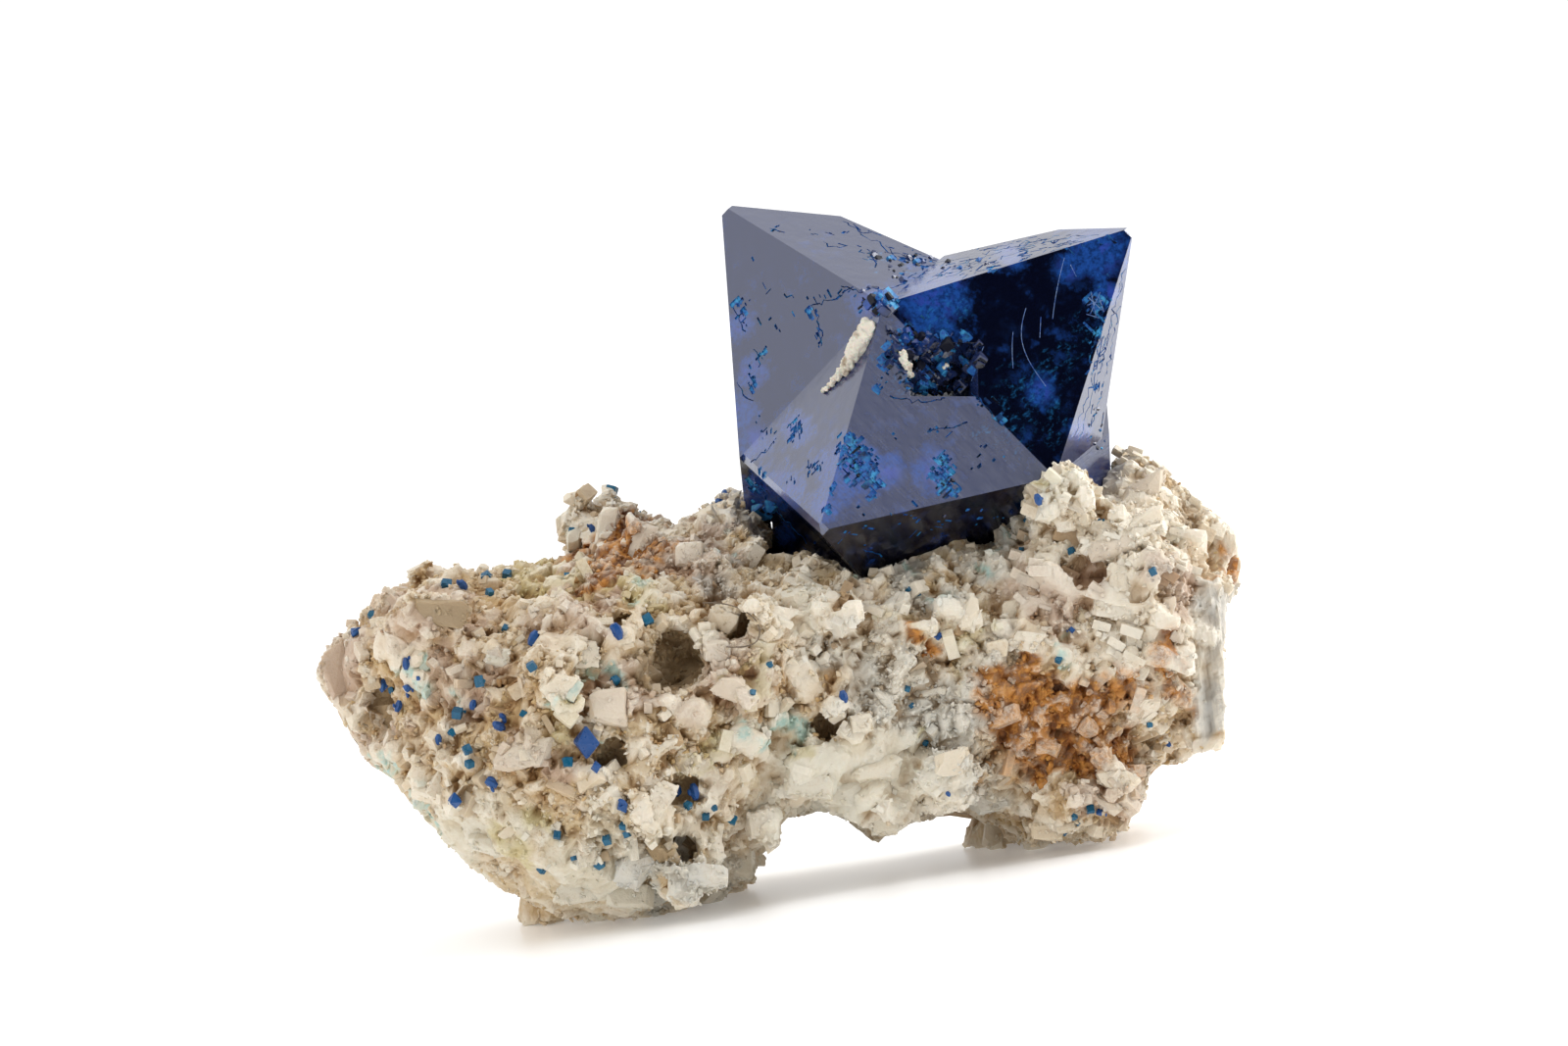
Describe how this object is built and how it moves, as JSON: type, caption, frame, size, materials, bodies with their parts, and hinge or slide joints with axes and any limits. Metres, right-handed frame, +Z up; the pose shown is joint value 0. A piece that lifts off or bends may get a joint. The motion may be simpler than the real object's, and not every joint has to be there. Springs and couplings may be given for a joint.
{
  "type": "cumengeite crystal specimen on matrix",
  "caption": "Deep blue star of intergrown pyramid crystals standing in a pale lumpy rock matrix dotted with small blue and teal crystals.",
  "frame": {"origin": "on the resting surface, under the middle of the specimen's bounding box", "axes": "+Z up, +X along the matrix from its pointed end to its blunt end, +Y away from the side with the front crystal"},
  "size_m": [0.0302, 0.0204, 0.0222],
  "materials": {
    "matrix": "rough, sugary",
    "deep_blue_crystal": "glassy, dark",
    "white_mineral": "dull, chalky",
    "royal_crystal": "glassy",
    "teal_crystal": "glassy"
  },
  "bodies": {
    "root": {"cumengeite_cluster": "deep_blue_crystal", "matrix_rock": "matrix", "white_rod": "white_mineral", "white_chip": "white_mineral", "white_speck": "white_mineral", "royal_crystal_01": "royal_crystal", "royal_crystal_02": "royal_crystal", "royal_crystal_03": "royal_crystal", "royal_crystal_04": "royal_crystal", "royal_crystal_05": "royal_crystal", "royal_crystal_06": "royal_crystal", "royal_crystal_07": "royal_crystal", "royal_crystal_08": "royal_crystal", "royal_crystal_09": "royal_crystal", "royal_crystal_10": "royal_crystal", "royal_crystal_11": "royal_crystal", "royal_crystal_12": "royal_crystal", "royal_crystal_13": "royal_crystal", "royal_crystal_14": "royal_crystal", "royal_crystal_15": "royal_crystal", "royal_crystal_16": "royal_crystal", "royal_crystal_17": "royal_crystal", "royal_crystal_18": "royal_crystal", "royal_crystal_19": "royal_crystal", "royal_crystal_20": "royal_crystal", "royal_crystal_21": "royal_crystal", "royal_crystal_22": "royal_crystal", "royal_crystal_23": "royal_crystal", "royal_crystal_24": "royal_crystal", "teal_crystal_01": "teal_crystal", "teal_crystal_02": "teal_crystal", "teal_crystal_03": "teal_crystal", "teal_crystal_04": "teal_crystal", "teal_crystal_05": "teal_crystal", "teal_crystal_06": "teal_crystal", "teal_crystal_07": "teal_crystal", "teal_crystal_08": "teal_crystal", "teal_crystal_09": "teal_crystal", "teal_crystal_10": "teal_crystal", "teal_crystal_11": "teal_crystal", "teal_crystal_12": "teal_crystal", "teal_crystal_13": "teal_crystal", "teal_crystal_14": "teal_crystal", "teal_crystal_15": "teal_crystal", "teal_crystal_16": "teal_crystal", "teal_crystal_17": "teal_crystal", "teal_crystal_18": "teal_crystal", "teal_crystal_19": "teal_crystal", "teal_crystal_20": "teal_crystal", "teal_crystal_21": "teal_crystal", "teal_crystal_22": "teal_crystal", "teal_crystal_23": "teal_crystal", "teal_crystal_24": "teal_crystal", "teal_crystal_25": "teal_crystal", "teal_crystal_26": "teal_crystal", "teal_crystal_27": "teal_crystal", "teal_crystal_28": "teal_crystal"}
  },
  "joints": []
}
